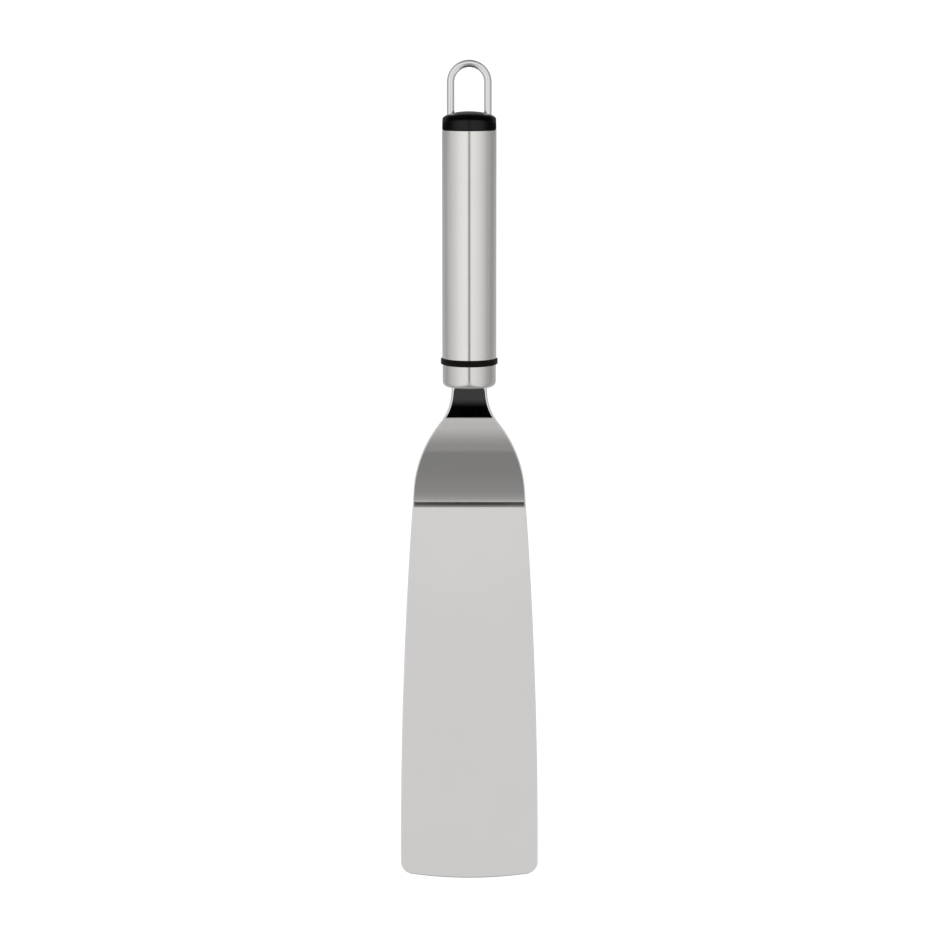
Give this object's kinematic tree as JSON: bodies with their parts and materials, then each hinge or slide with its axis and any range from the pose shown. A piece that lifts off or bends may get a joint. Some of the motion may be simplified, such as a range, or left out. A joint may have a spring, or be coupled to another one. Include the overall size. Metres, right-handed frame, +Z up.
{
  "type": "flexible spatula",
  "caption": "Long flat flexible steel spatula blade, cranked at the heel, on a round steel handle with a rubber ring, a black end cap and a wire hanging loop.",
  "frame": {"origin": "the middle of the footprint, on the plane that the blade lies flat on", "axes": "+Y along the blade towards the handle and its loop, +Z up from the blade's top face, +X across the blade"},
  "size_m": [0.0568, 0.334, 0.049],
  "materials": {
    "polished_steel": "polished",
    "satin_steel": "satin",
    "black_plastic": "satin",
    "black_rubber": "matte",
    "core_plastic": "matte"
  },
  "bodies": {
    "root": {"blade": "polished_steel", "front_ferrule": "satin_steel", "ring": "black_rubber", "handle_tube": "satin_steel", "core_half_upper": "core_plastic", "core_half_lower": "core_plastic", "tang_pin_front": "polished_steel", "tang_pin_rear": "polished_steel", "end_cap": "black_plastic", "hanging_loop": "polished_steel", "loop_retainer": "polished_steel"}
  },
  "joints": []
}
